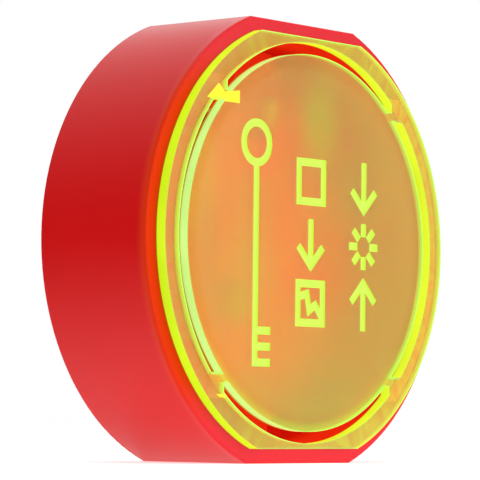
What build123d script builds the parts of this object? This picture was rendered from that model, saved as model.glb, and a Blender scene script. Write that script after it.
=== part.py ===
from build123d import *
from math import cos, radians, sin
import os

# Break-glass key box.  A round red case with two flats locks onto a wall plate.  A laser-cut acrylic pane is
# taped to the front of the case: its disc hangs in the rim by four narrow bridges and snaps inwards when it is
# pressed, which frees the key and the tag that hang on the steel hook of the wall plate.
# Millimetres.  The origin is the centre of the back face, on the wall.  +X is to the right and +Z is up.
# The front faces -Y, so every "height" below is measured from the wall towards -Y.

# ---- Driving dimensions -------------------------------------------------------------------------------------
case_radius = 60.0  # round sides of the case
case_half_flat = 56.25  # half the distance between the upper and the lower flat
case_depth = 35.0  # wall to front face
case_edge_round = 0.5  # small round on the outer edges
pane_margin = 3.75  # red rim left uncovered around the pane
pane_thickness = 3.0  # acrylic sheet
disc_radius = 48.2  # breakable disc
slot_width = 3.0  # arc slot between the disc and the rim
bridge_line = 33.7  # the arc slots end on the lines x = +-33.7 and z = +-33.7, which leaves four bridges
bridge_step = 36.2  # height at which the upper and lower slots stop beside the disc, which widens the bridges
bridge_step_width = 3.0  # reaches in over the disc's edge
snap_gap = 0.05  # scored snap line across each bridge

# Case
bore_radius = disc_radius + slot_width
rabbet_radius = 53.0  # seat of the wall plate in the back of the case
tape_thickness = 0.5
tape_inner_radius = bore_radius + 0.8
tape_outer_radius = case_radius - pane_margin - 0.8
tape_half_length = 40.0  # the tapes stop short of the narrow flats of the rim
tape_clearance = 0.1
seal_radius = 56.2  # middle of the wall seal's round sides
seal_half_flat = 54.6  # middle of the wall seal's flats
seal_width = 1.2
seal_depth = 1.5
seal_clearance = 0.1

# Wall plate
plate_thickness = 4.0
plate_clearance = 0.2
lug_width = 15.0
lug_length = 8.0  # radial
lug_rise = 14.0  # above the plate
lug_clearance = 0.3
wall_hole_spacing = 60.0
wall_hole_radius = 2.25
wall_countersink_radius = 4.4
countersink_angle = 90

# Case screws, M4 countersunk, and their brass inserts
lock_height = 11.5  # height of the screw axes above the wall
lock_screw_radius = 1.95
lock_clearance_radius = 2.25
lock_head_radius = 3.9
lock_head_sink = 0.15  # below the flat
lock_screw_length = 12.0
lock_socket_width = 2.5  # hexagon socket, across its flats
lock_socket_depth = 1.5
lock_insert_outer = 2.75
lock_insert_bore = 2.0
lock_insert_length = 7.0
insert_fit = 0.05

# Key hook with its two M3 button screws and brass inserts
hook_z = 30.0  # axis of the level run that the key hangs on
hook_rod_radius = 2.0
hook_base_length = 34.0
hook_base_width = 12.0
hook_base_thickness = 2.0
hook_screw_spacing = 22.0
hook_bend_radius = 3.5
hook_reach = 21.5  # height of the upturned tip's axis above the wall
hook_tip_rise = 8.0
hook_tip_round = 0.9
hook_screw_radius = 1.45
hook_screw_hole = 1.7
hook_screw_head = 2.85
hook_screw_head_height = 1.65
hook_screw_length = 5.4
hook_socket_width = 2.0
hook_socket_depth = 1.0
hook_insert_outer = 2.2
hook_insert_bore = 1.5
hook_insert_length = 3.6

# Foam pad that keeps the hanging key off the plate
pad_width = 22.0
pad_length = 26.0
pad_thickness = 3.0
pad_z = -12.0
pad_round = 3.0

# Key
hang_gap = 0.05  # running gap between the rod and the eye that hangs on it
key_height = 11.0  # middle plane above the wall
key_thickness = 2.2
bow_radius = 12.0
bow_eye_radius = 4.0
bow_wall = 2.0  # metal above the eye
shoulder_width = 10.5
shoulder_length = 5.0
blade_width = 8.4
blade_length = 31.0
blade_tip = 3.0
groove_width = 1.3
groove_depth = 0.5
groove_offsets = (1.6, 0.65)  # of the front and the back groove from the blade's middle line
cut_start = 6.6  # from the shoulder to the middle of the first cut
cut_pitch = 4.4
cut_flat = 0.8
cut_depths = (1.4, 2.6, 1.0, 2.9, 1.9)  # bitting, from the shoulder to the tip
cap_thickness = 5.2
cap_wall = 1.6
cap_eye_radius = 4.3
cap_fit = 0.1
cap_edge_round = 1.0

# Tag
tag_height = 15.8
tag_thickness = 3.2
tag_width = 20.0
tag_length = 44.0
tag_corner = 4.0
tag_eye_radius = 3.0
tag_eye_wall = 2.6
tag_window_width = 15.0
tag_window_length = 27.0
tag_window_corner = 1.5
tag_window_z = -8.0  # from the middle of the tag
card_thickness = 0.4
window_thickness = 0.9
tag_fit = 0.1

# Engraved signs on the disc: a burst between two arrows, two panes with an arrow between them, and a key
sign_stroke = 2.0
sign_depth = 0.4
sign_pitch = 22.0  # between the three columns
sign_half_width = 6.0
sign_ray_inner = 2.6
sign_ray_count = 8
sign_bit_count = 3
sign_step = 15.5  # from the middle of a column to its upper and lower sign
sign_column_top = 22.0
sign_key_top = 30.0
sign_key_tip = -32.0
sign_crack = ((-4.6, 1.6), (-1.4, 2.4), (-0.4, -1.8), (2.0, -0.4), (4.6, -3.4))  # from the pane's middle

# ---- Derived dimensions -------------------------------------------------------------------------------------
pane_radius = case_radius - pane_margin
pane_half_flat = case_half_flat - pane_margin
corner_size = case_radius - bridge_line
corner_centre = bridge_line + corner_size / 2
step_height = bridge_step - bridge_line
step_centre_x = bridge_line - bridge_step_width / 2
step_centre_z = bridge_line + step_height / 2
plate_radius = rabbet_radius - plate_clearance
lug_radius = bore_radius - lug_clearance
lug_centre = lug_radius - lug_length / 2
front_height = case_depth + pane_thickness
lock_head_depth = lock_head_radius - lock_screw_radius  # 90 degree head
hook_base_top = plate_thickness + hook_base_thickness
bow_eye_z = hook_z - (bow_eye_radius - hook_rod_radius - hang_gap)
bow_z = bow_eye_z + bow_eye_radius + bow_wall - bow_radius
shoulder_z = bow_z - bow_radius
blade_tip_z = shoulder_z - blade_length
tag_eye_z = hook_z - (tag_eye_radius - hook_rod_radius - hang_gap)
tag_top_z = tag_eye_z + tag_eye_radius + tag_eye_wall
tag_z = tag_top_z - tag_length / 2
tag_pocket_depth = card_thickness + window_thickness

# Planes that look outwards from the upper and the lower flat, on the axes of the case screws
flat_planes = [
    Plane(origin=(0, -lock_height, side * case_half_flat), x_dir=(1, 0, 0), z_dir=(0, 0, side))
    for side in (1, -1)
]
lug_planes = [
    Plane(origin=(0, -lock_height, side * lug_radius), x_dir=(1, 0, 0), z_dir=(0, 0, side))
    for side in (1, -1)
]


def level(height):
    """A plane parallel to the wall, facing the front, at that height above the wall: its x is +X, its y is +Z."""
    return Plane.XZ.offset(height)


def flatted_disc(radius, half_flat):
    """Add a disc with an upper and a lower flat to an empty sketch."""
    Circle(radius)
    Rectangle(2 * radius, 2 * half_flat, mode=Mode.INTERSECT)


def tape_crescents(clearance):
    """Add the outline of the two tapes, left and right, to an empty sketch."""
    Circle(tape_outer_radius + clearance)
    Circle(tape_inner_radius - clearance, mode=Mode.SUBTRACT)
    Rectangle(2 * case_radius, 2 * (tape_half_length + clearance), mode=Mode.INTERSECT)


def seal_band(clearance):
    """Add the band of the wall seal, which follows the case's outline, to an empty sketch."""
    half_width = seal_width / 2 + clearance
    flatted_disc(seal_radius + half_width, seal_half_flat + half_width)
    with BuildSketch(mode=Mode.PRIVATE) as inside:
        flatted_disc(seal_radius - half_width, seal_half_flat - half_width)
    add(inside.sketch, mode=Mode.SUBTRACT)


# ---- Case ---------------------------------------------------------------------------------------------------
with BuildPart() as case_shell:
    with BuildSketch(level(0)):
        flatted_disc(case_radius, case_half_flat)
    extrude(amount=case_depth)
    fillet(case_shell.edges().group_by(Axis.Y)[0], radius=case_edge_round)
    fillet(case_shell.edges().group_by(Axis.Y)[-1], radius=case_edge_round)
    with BuildSketch(level(0)):
        Circle(bore_radius)
    extrude(amount=case_depth, mode=Mode.SUBTRACT)
    with BuildSketch(level(0)):
        Circle(rabbet_radius)
    extrude(amount=plate_thickness, mode=Mode.SUBTRACT)
    with BuildSketch(level(0)):
        seal_band(seal_clearance)
    extrude(amount=seal_depth, mode=Mode.SUBTRACT)
    with BuildSketch(level(case_depth)):
        tape_crescents(tape_clearance)
    extrude(amount=-tape_thickness, mode=Mode.SUBTRACT)
    with Locations(*flat_planes):
        CounterSinkHole(
            radius=lock_clearance_radius,
            counter_sink_radius=lock_head_radius + insert_fit + lock_head_sink,
            depth=case_half_flat - lug_radius,
            counter_sink_angle=countersink_angle,
        )

with BuildPart() as wall_seal:
    with BuildSketch(level(0)):
        seal_band(0)
    extrude(amount=seal_depth)

with BuildPart() as pane_tapes:
    with BuildSketch(level(case_depth - tape_thickness)):
        tape_crescents(0)
    extrude(amount=tape_thickness)

# ---- Pane ---------------------------------------------------------------------------------------------------
# The opening of the rim is the slot's outer circle without its four corners and the steps beside them, together
# with the disc.  What is left of corners and steps between the two circles are the bridges.
with BuildSketch(level(case_depth)) as pane_opening:
    Circle(bore_radius)
    with GridLocations(2 * corner_centre, 2 * corner_centre, 2, 2):
        Rectangle(corner_size, corner_size, mode=Mode.SUBTRACT)
    with GridLocations(2 * step_centre_x, 2 * step_centre_z, 2, 2):
        Rectangle(bridge_step_width, step_height, mode=Mode.SUBTRACT)
    Circle(disc_radius + snap_gap)

with BuildPart() as pane_rim:
    with BuildSketch(level(case_depth)):
        flatted_disc(pane_radius, pane_half_flat)
        add(pane_opening.sketch, mode=Mode.SUBTRACT)
    extrude(amount=pane_thickness)


def stroke(*points):
    """Add an open line through the points, as wide as an engraved stroke, to the open sketch."""
    with BuildLine() as path:
        Polyline(*points)
    trace(path.line, line_width=sign_stroke)


def arrow_sign(x, z_tail, z_tip):
    """Add an upright arrow from z_tail to z_tip."""
    barb = sign_half_width - sign_stroke / 2
    back = z_tip + (barb if z_tail > z_tip else -barb)
    stroke((x, z_tail), (x, z_tip))
    stroke((x - barb, back), (x, z_tip), (x + barb, back))


def burst_sign(x, z):
    """Add rays around the point (x, z)."""
    for turn in range(sign_ray_count):
        angle = radians(360 / sign_ray_count * turn)
        ray = (cos(angle), sin(angle))
        stroke(*[(x + reach * ray[0], z + reach * ray[1]) for reach in (sign_ray_inner, sign_half_width)])


def pane_sign(x, z):
    """Add a square pane around the point (x, z)."""
    side = 2 * sign_half_width
    with Locations((x, z)):
        Rectangle(side, side)
        Rectangle(side - 2 * sign_stroke, side - 2 * sign_stroke, mode=Mode.SUBTRACT)


def key_sign(x, z_top, z_tip):
    """Add a long key: a round bow at the top, a shank down to z_tip and bits on its right side."""
    bow_centre = z_top - sign_half_width
    with Locations((x, bow_centre)):
        Circle(sign_half_width)
        Circle(sign_half_width - sign_stroke, mode=Mode.SUBTRACT)
    stroke((x, bow_centre - sign_half_width + sign_stroke / 2), (x, z_tip))
    for bit in range(sign_bit_count):
        z_bit = z_tip + sign_stroke / 2 + 2 * bit * sign_stroke
        stroke((x, z_bit), (x + sign_half_width, z_bit))


with BuildPart() as break_disc:
    with BuildSketch(level(case_depth)):
        Circle(disc_radius)
    extrude(amount=pane_thickness)
    with BuildSketch(level(front_height)):
        # right column: press here
        arrow_sign(sign_pitch, sign_column_top, sign_step - sign_half_width)
        burst_sign(sign_pitch, 0)
        arrow_sign(sign_pitch, -sign_column_top, sign_half_width - sign_step)
        # middle column: the pane breaks
        pane_sign(0, sign_step)
        arrow_sign(0, sign_half_width, -sign_half_width)
        pane_sign(0, -sign_step)
        stroke(*[(crack_x, crack_z - sign_step) for crack_x, crack_z in sign_crack])
        # left column: the key
        key_sign(-sign_pitch, sign_key_top, sign_key_tip)
    extrude(amount=-sign_depth, mode=Mode.SUBTRACT)

# ---- Wall plate ---------------------------------------------------------------------------------------------
hook_screw_points = [(side * hook_screw_spacing / 2, hook_z) for side in (-1, 1)]

with BuildPart() as wall_plate:
    with BuildSketch(level(0)):
        Circle(plate_radius)
    extrude(amount=plate_thickness)
    with BuildSketch(level(plate_thickness)):
        with Locations((0, lug_centre), (0, -lug_centre)):
            Rectangle(lug_width, lug_length)
        Circle(lug_radius, mode=Mode.INTERSECT)
    extrude(amount=lug_rise)
    with Locations(*lug_planes):
        Hole(lock_insert_outer + insert_fit, depth=lock_insert_length)
    with BuildSketch(level(0)):
        with Locations(*hook_screw_points):
            Circle(hook_insert_outer + insert_fit)
    extrude(amount=plate_thickness, mode=Mode.SUBTRACT)
    with Locations(level(plate_thickness)):
        with GridLocations(wall_hole_spacing, 0, 2, 1):
            CounterSinkHole(
                radius=wall_hole_radius,
                counter_sink_radius=wall_countersink_radius,
                depth=plate_thickness,
                counter_sink_angle=countersink_angle,
            )

from_outside = (Align.CENTER, Align.CENTER, Align.MAX)

with BuildPart() as case_inserts:
    with Locations(*lug_planes):
        Cylinder(lock_insert_outer, lock_insert_length, align=from_outside)
        Cylinder(lock_insert_bore, lock_insert_length, align=from_outside, mode=Mode.SUBTRACT)

with BuildPart() as case_screws:
    head_planes = [plane.offset(-lock_head_sink) for plane in flat_planes]
    with Locations(*head_planes):
        Cylinder(lock_screw_radius, lock_screw_length, align=from_outside)
        Cone(lock_screw_radius, lock_head_radius, lock_head_depth, align=from_outside)
    with BuildSketch(*head_planes):
        RegularPolygon(lock_socket_width / 2, 6, major_radius=False)
    extrude(amount=-lock_socket_depth, mode=Mode.SUBTRACT)

# ---- Hook ---------------------------------------------------------------------------------------------------
with BuildPart() as key_hook:
    with BuildSketch(level(plate_thickness)):
        with Locations((0, hook_z)):
            SlotOverall(hook_base_length, hook_base_width)
        with Locations(*hook_screw_points):
            Circle(hook_screw_hole, mode=Mode.SUBTRACT)
    extrude(amount=hook_base_thickness)
    # The rod runs level out of the base and turns up at its end.
    with BuildLine(Plane.YZ):
        FilletPolyline(
            (-plate_thickness - hook_base_thickness / 2, hook_z),
            (-hook_reach, hook_z),
            (-hook_reach, hook_z + hook_tip_rise),
            radius=hook_bend_radius,
        )
    with BuildSketch(Plane(origin=(0, -plate_thickness - hook_base_thickness / 2, hook_z), z_dir=(0, -1, 0))):
        Circle(hook_rod_radius)
    sweep()
    fillet(key_hook.edges().group_by(Axis.Z)[-1], radius=hook_tip_round)

with BuildPart() as hook_inserts:
    with BuildSketch(level(plate_thickness)):
        with Locations(*hook_screw_points):
            Circle(hook_insert_outer)
            Circle(hook_insert_bore, mode=Mode.SUBTRACT)
    extrude(amount=-hook_insert_length)

with BuildPart() as hook_screws:
    with BuildSketch(level(hook_base_top)):
        with Locations(*hook_screw_points):
            Circle(hook_screw_head)
    extrude(amount=hook_screw_head_height)
    fillet(hook_screws.edges().group_by(Axis.Y)[0], radius=hook_screw_head_height / 2)
    with BuildSketch(level(hook_base_top)):
        with Locations(*hook_screw_points):
            Circle(hook_screw_radius)
    extrude(amount=-hook_screw_length)
    with BuildSketch(level(hook_base_top + hook_screw_head_height)):
        with Locations(*hook_screw_points):
            RegularPolygon(hook_socket_width / 2, 6, major_radius=False)
    extrude(amount=-hook_socket_depth, mode=Mode.SUBTRACT)

with BuildPart() as rattle_pad:
    with BuildSketch(level(plate_thickness)):
        with Locations((0, pad_z)):
            RectangleRounded(pad_width, pad_length, pad_round)
    extrude(amount=pad_thickness)

# ---- Key ----------------------------------------------------------------------------------------------------
key_back = key_height - key_thickness / 2
key_front = key_height + key_thickness / 2
cap_back = key_height - cap_thickness / 2

with BuildPart() as key:
    with BuildSketch(level(key_back)):
        with Locations((0, bow_z)):
            Circle(bow_radius)
        with Locations((0, shoulder_z + shoulder_length / 2)):
            Rectangle(shoulder_width, shoulder_length)
        with BuildLine():
            Polyline(
                (-blade_width / 2, shoulder_z + shoulder_length),
                (-blade_width / 2, blade_tip_z + blade_tip),
                (blade_width / 2 - blade_tip, blade_tip_z),
                (blade_width / 2, blade_tip_z + blade_tip),
                (blade_width / 2, shoulder_z + shoulder_length),
                close=True,
            )
        make_face()
        with Locations((0, bow_eye_z)):
            Circle(bow_eye_radius, mode=Mode.SUBTRACT)
    extrude(amount=key_thickness)
    # Bitting: V cuts with a flat bottom in the left edge of the blade.
    with BuildSketch(level(key_back)):
        for place, cut in enumerate(cut_depths):
            z_cut = shoulder_z - cut_start - place * cut_pitch
            with BuildLine():
                Polyline(
                    (-blade_width / 2, z_cut + cut_flat / 2 + cut),
                    (-blade_width / 2 + cut, z_cut + cut_flat / 2),
                    (-blade_width / 2 + cut, z_cut - cut_flat / 2),
                    (-blade_width / 2, z_cut - cut_flat / 2 - cut),
                    close=True,
                )
            make_face()
    extrude(amount=key_thickness, mode=Mode.SUBTRACT)
    # Milled grooves: one along each face, side by side.
    for face_height, inwards, groove_x in zip((key_front, key_back), (-groove_depth, groove_depth), groove_offsets):
        with BuildSketch(level(face_height)):
            with Locations((groove_x, (shoulder_z + blade_tip_z) / 2)):
                Rectangle(groove_width, blade_length + 2 * blade_tip)
        extrude(amount=inwards, mode=Mode.SUBTRACT)

with BuildPart() as key_cap:
    with BuildSketch(level(cap_back)):
        with Locations((0, bow_z)):
            Circle(bow_radius + cap_wall)
    extrude(amount=cap_thickness)
    fillet(key_cap.edges(), radius=cap_edge_round)
    # Pocket for the bow, open downwards for the shoulder, and the eye through both faces.
    with BuildSketch(level(key_back - cap_fit)):
        with Locations((0, bow_z)):
            Circle(bow_radius + cap_fit)
        with Locations((0, shoulder_z)):
            Rectangle(shoulder_width + 2 * cap_fit, 2 * shoulder_length)
    extrude(amount=key_thickness + 2 * cap_fit, mode=Mode.SUBTRACT)
    with BuildSketch(level(cap_back)):
        with Locations((0, bow_eye_z)):
            Circle(cap_eye_radius)
    extrude(amount=cap_thickness, mode=Mode.SUBTRACT)

# ---- Tag ----------------------------------------------------------------------------------------------------
tag_back = tag_height - tag_thickness / 2
tag_front = tag_height + tag_thickness / 2
tag_pocket_z = tag_z + tag_window_z


def tag_slip(height, thickness, clearance):
    """Add a rounded slip that fills the tag's pocket, or cut the pocket itself where clearance is above 0."""
    with BuildSketch(level(height)) as slip:
        with Locations((0, tag_pocket_z)):
            RectangleRounded(
                tag_window_width + 2 * clearance,
                tag_window_length + 2 * clearance,
                tag_window_corner + clearance,
            )
    extrude(slip.sketch, amount=thickness, mode=Mode.SUBTRACT if clearance else Mode.ADD)


with BuildPart() as tag_body:
    with BuildSketch(level(tag_back)):
        with Locations((0, tag_z)):
            RectangleRounded(tag_width, tag_length, tag_corner)
        with Locations((0, tag_eye_z)):
            Circle(tag_eye_radius, mode=Mode.SUBTRACT)
    extrude(amount=tag_thickness)
    tag_slip(tag_front - tag_pocket_depth, tag_pocket_depth, tag_fit)

with BuildPart() as tag_card:
    tag_slip(tag_front - tag_pocket_depth, card_thickness, 0)

with BuildPart() as tag_window:
    tag_slip(tag_front - window_thickness, window_thickness, 0)

# ---- Hand over ----------------------------------------------------------------------------------------------
pieces = {
    "case_shell": case_shell,
    "wall_plate": wall_plate,
    "wall_seal": wall_seal,
    "case_screws": case_screws,
    "case_inserts": case_inserts,
    "pane_tapes": pane_tapes,
    "pane_rim": pane_rim,
    "break_disc": break_disc,
    "key_hook": key_hook,
    "hook_screws": hook_screws,
    "hook_inserts": hook_inserts,
    "rattle_pad": rattle_pad,
    "key": key,
    "key_cap": key_cap,
    "tag_body": tag_body,
    "tag_card": tag_card,
    "tag_window": tag_window,
}
os.makedirs("parts", exist_ok=True)
for name, piece in pieces.items():
    piece.part.label = name
    export_step(piece.part, f"parts/{name}.step")
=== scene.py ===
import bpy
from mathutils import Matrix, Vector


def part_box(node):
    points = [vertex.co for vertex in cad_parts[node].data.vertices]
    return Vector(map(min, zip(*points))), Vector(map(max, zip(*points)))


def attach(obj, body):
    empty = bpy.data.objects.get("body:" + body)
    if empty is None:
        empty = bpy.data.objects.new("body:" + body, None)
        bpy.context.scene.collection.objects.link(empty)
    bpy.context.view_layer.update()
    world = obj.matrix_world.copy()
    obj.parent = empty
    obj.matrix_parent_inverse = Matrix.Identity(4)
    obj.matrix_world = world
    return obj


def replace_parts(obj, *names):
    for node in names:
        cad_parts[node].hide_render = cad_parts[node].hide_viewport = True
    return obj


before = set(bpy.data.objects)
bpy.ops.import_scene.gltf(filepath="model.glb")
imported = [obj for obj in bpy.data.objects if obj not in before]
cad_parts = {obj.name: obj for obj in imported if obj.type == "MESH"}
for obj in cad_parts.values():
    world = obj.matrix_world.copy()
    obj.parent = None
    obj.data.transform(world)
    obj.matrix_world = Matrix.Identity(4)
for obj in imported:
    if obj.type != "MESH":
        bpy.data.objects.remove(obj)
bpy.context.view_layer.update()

"""Looks of the break-glass key box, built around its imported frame.

Lengths are in metres and colours are linear.  In the frame's own axes the wall is the plane y = 0, the pane
faces -Y, +X is to the right and +Z is up.  The origin is the centre of the back face.
"""
import logging
from dataclasses import dataclass
from enum import Enum
from functools import partial, reduce
from math import cos, hypot, pi, radians, sin
from typing import Optional, Sequence, Union

import bmesh
import bpy
import numpy as np
from bpy.types import ID, Material, Node, NodeTree, Object
from mathutils import Matrix, Vector

log = logging.getLogger("key_box")

RGB = tuple[float, float, float]
Point2 = tuple[float, float]
Point3 = tuple[float, float, float]
Socket = bpy.types.NodeSocket
Sockets = bpy.types.bpy_prop_collection
Value = Union[float, Sequence[float], Socket]
Inputs = dict[Union[int, str], Value]
Pattern = tuple[Socket, Socket, Inputs]

MM = 0.001
BLACK: RGB = (0.0, 0.0, 0.0)
WHITE: RGB = (1.0, 1.0, 1.0)


def mm(*lengths: float) -> tuple[float, ...]:
    """Return lengths given in millimetres as a tuple in metres."""
    return tuple(length * MM for length in lengths)


def dimmed(colour: RGB, share: float) -> RGB:
    """Return the colour at a share of its brightness."""
    return tuple(share * channel for channel in colour)


# Outline of the acrylic sheet, as the CAD model cuts it
SHEET_RADIUS, SHEET_HALF_FLAT = mm(56.25, 52.5)
SHEET_BACK, SHEET_FRONT = mm(-35.0, -38.0)
SLOT_RADIUS, DISC_RADIUS = mm(51.2, 48.2)
SLOT_END, SLOT_STEP = mm(33.7, 36.2)  # |x| and |z| where the arc slots end, and |z| of the step in them

# Heights |z| between which a look turns into the one by the flats: in the bore and on the disc, on the rim
# and beside it, under the rim, and on the outer wall
BORE_TO_FLATS, RIM_TO_FLATS = mm(26.0, 46.0), mm(34.0, 50.0)
SEAT_TO_FLATS, SKIN_TO_FLATS = mm(36.0, 50.0), mm(0.0, 42.0)

# Other places where the red plastic changes
INNER_HALF_FLAT = 52.6 * MM  # half height up to which a surface is inside
BACK_FACE, FRONT_FACE = mm(-1.0, -33.0)  # y before which the inside and the front face begin
FAR_INSIDE, SKIN_BEGINS = mm(-30.0, -20.0), mm(-34.6, -33.6)  # y between which each comes up
SPILL_BEGINS = -31.5 * MM  # y from which the sheet's light falls on the case
SPILL_REACH = mm(-6.5, -2.5)  # distances from the sheet's outline between which that light comes up

# Where the sheet's face changes
RIM_MARGIN = 1.0 * MM  # how far inside the slots the disc's haze turns into the rim's
UNWIPED = mm(1.5, 5.0)  # distances from a slot between which the face becomes dull
HAZE_TILT, HAZE_SPAN = -0.2, 0.7 * SHEET_RADIUS  # slope and half width of the change from left to right
LOWER_HALF = mm(-15.0, 25.0)  # heights between which the disc's lower haze fades out
BRIM_WIDTH, BRIM_HEIGHTS = 3.0 * MM, mm(-36.0, -18.0)  # of the haze along the disc's lower edge
FACE_DEPTH = 0.1 * MM  # depth to which a point counts as on the front face

# Values of smooth noise between which each mask comes up, and what marks add to a roughness
DRIFT, CLOUDS, PATCHES, TARNISH = (0.3, 0.7), (0.38, 0.66), (0.35, 0.65), (0.42, 0.70)
HAIRS, SMEARS, CELLS, FIBRES = (0.74, 0.80), (0.45, 0.75), (0.15, 0.55), (0.45, 0.7)
SCRATCHED, SMEARED, SMEARED_SHEET = 0.02, 0.012, 0.06

ACRYLIC_IOR = 1.49
INNER_LIGHT: RGB = (1.0, 0.055, 0.008)  # colour of the light that comes through the red walls
CUT_RELIEF = 0.03 * MM  # height of the laser's ridges

# Shares
CUT_BASE, MARK_BASE = 0.5, 0.42  # of the glow's colour, which a cut wall and an engraving have without it
MARK_DULLEST = 0.9  # of an engraving's light, where it is weakest
SMEARED_TINT, CLOUDY_TINT = 0.9, 0.92  # of the tint, where a sheet is smeared and where it is cloudier
LIP_CORE = 0.6  # of the lit line's width, up to which it is full


# ---- Node trees ----
@dataclass
class Graph:
    """A node tree that is being filled.

    Args:
        tree: the material's, world's or group's node tree.
    """

    tree: NodeTree

    def fill(self, node: Node, inputs: Inputs) -> None:
        """Set or link a node's inputs.

        Args:
            node: the node.
            inputs: value or linked socket for each named or numbered input. A colour gets full alpha.
        """
        for name, value in inputs.items():
            socket = node.inputs[name]
            if isinstance(value, Socket):
                self.tree.links.new(value, socket)
            else:
                socket.default_value = (*value, 1.0) if socket.type == "RGBA" else value

    def node(self, kind: str, inputs: Optional[Inputs] = None, **settings: object) -> Node:
        """Add a node, set its properties and fill its inputs.

        Args:
            kind: the node's type name.
            inputs: what fill takes.
            settings: properties of the node, such as operation="MULTIPLY".

        Returns:
            The new node.
        """
        made = self.tree.nodes.new(kind)
        for name, setting in settings.items():
            setattr(made, name, setting)
        self.fill(made, inputs or {})
        return made

    def maths(self, operation: str, *values: Value) -> Socket:
        """Add a Math node on up to three values and return its result."""
        return self.node("ShaderNodeMath", dict(enumerate(values)), operation=operation).outputs[0]

    def most(self, *values: Value) -> Socket:
        """Return the greatest of the values."""
        return reduce(partial(self.maths, "MAXIMUM"), values)

    def product(self, *values: Value) -> Socket:
        """Return the product of the values."""
        return reduce(partial(self.maths, "MULTIPLY"), values)

    def mix(self, share: Value, first: Value, second: Value, blend: str = "MIX") -> Socket:
        """Mix two colours by share, which is 0 for the first and 1 for the second."""
        inputs = {0: share, 6: first, 7: second}
        return self.node("ShaderNodeMix", inputs, data_type="RGBA", blend_type=blend).outputs[2]

    def ramp(self, value: Value, low: float, high: float, start: float = 0.0, end: float = 1.0) -> Socket:
        """Map value from low..high smoothly to start..end."""
        inputs = {"Value": value, "From Min": low, "From Max": high, "To Min": start, "To Max": end}
        return self.node("ShaderNodeMapRange", inputs, interpolation_type="SMOOTHSTEP").outputs[0]

    def position(self) -> Socket:
        """Return the piece's own coordinates."""
        return self.node("ShaderNodeTexCoord").outputs["Object"]

    def axes(self) -> tuple[Socket, Socket, Socket]:
        """Return the x, y and z of the piece's own coordinates."""
        return tuple(self.node("ShaderNodeSeparateXYZ", {0: self.position()}).outputs)

    def height(self) -> Socket:
        """Return |z|, the distance above or below the middle."""
        return self.maths("ABSOLUTE", self.axes()[2])

    def span(self, first: Socket, second: Socket) -> Socket:
        """Return the distance that two distances at a right angle make."""
        return self.maths("SQRT", self.maths("MULTIPLY_ADD", first, first, self.product(second, second)))

    def radius(self) -> Socket:
        """Return the distance from the Y axis."""
        x, _, z = self.axes()
        return self.span(x, z)

    def from_slots(self, lengthened: float = 0.0) -> Socket:
        """Return the distance to the nearest arc slot of the sheet, which is below 0 in the slot.

        A slot lies between the two circles and beyond its end lines, so the distance is the greatest of the
        four differences, and the smaller of the upper and the side slot's counts.

        Args:
            lengthened: how much longer each end of a side slot is taken to be.

        Returns:
            The distance.
        """
        radius, high = self.radius(), self.height()
        beyond = self.maths("SUBTRACT", radius, SLOT_RADIUS)
        ring = self.most(beyond, self.maths("SUBTRACT", DISC_RADIUS, radius))
        past_end = self.maths("SUBTRACT", self.maths("ABSOLUTE", self.axes()[0]), SLOT_END)
        upper = self.most(ring, past_end, self.maths("SUBTRACT", SLOT_STEP, high))
        side = self.most(ring, self.maths("SUBTRACT", high, SLOT_END + lengthened))
        return self.maths("MINIMUM", upper, side)

    def from_outline(self) -> Socket:
        """Return the distance to the sheet's outer edge, which is below 0 outside it."""
        to_arc = self.maths("SUBTRACT", SHEET_RADIUS, self.radius())
        return self.maths("MINIMUM", to_arc, self.maths("SUBTRACT", SHEET_HALF_FLAT, self.height()))

    def noise(self, scale: float, detail: float = 2.0, stretch: Point3 = (1.0, 1.0, 1.0)) -> Socket:
        """Add smooth noise, denser along the axes with a stretch above 1.

        Args:
            scale: its features per metre.
            detail: how many finer layers it has.
            stretch: how much denser it is along each axis.

        Returns:
            The noise, around 0.5.
        """
        where = self.node("ShaderNodeMapping", {"Vector": self.position(), "Scale": stretch})
        inputs = {"Vector": where.outputs[0], "Scale": scale, "Detail": detail, "Roughness": 0.55}
        return self.node("ShaderNodeTexNoise", inputs).outputs[0]

    def bump(self, height: Value, distance: float, strength: float = 1.0) -> Socket:
        """Return the normal that a height of that distance gives."""
        inputs = {"Height": height, "Distance": distance, "Strength": strength}
        return self.node("ShaderNodeBump", inputs).outputs[0]

    def effect(self, group: NodeTree, inputs: Optional[Inputs] = None) -> Sockets:
        """Place a shared effect with its own values and return its outputs."""
        return self.node("ShaderNodeGroup", inputs, node_tree=group).outputs

    def rays(self, *kinds: str) -> Socket:
        """Return 1 for these kinds of ray, such as Camera, and 0 for the others."""
        path = self.node("ShaderNodeLightPath")
        return self.most(*(path.outputs[f"Is {kind} Ray"] for kind in kinds))


def new_group(name: str, inputs: dict[str, float], *outputs: str) -> tuple[Graph, Sockets, Node]:
    """Start a shader node group.

    Args:
        name: the group's name.
        inputs: default value of each input.
        outputs: name of each output.

    Returns:
        The group's graph, its input node's sockets and its output node.
    """
    tree = bpy.data.node_groups.new(name, "ShaderNodeTree")
    add_socket = partial(tree.interface.new_socket, socket_type="NodeSocketFloat")
    for label, default in inputs.items():
        add_socket(label, in_out="INPUT").default_value = default
    for label in outputs:
        add_socket(label, in_out="OUTPUT")
    graph = Graph(tree)
    return graph, graph.node("NodeGroupInput").outputs, graph.node("NodeGroupOutput")


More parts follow.
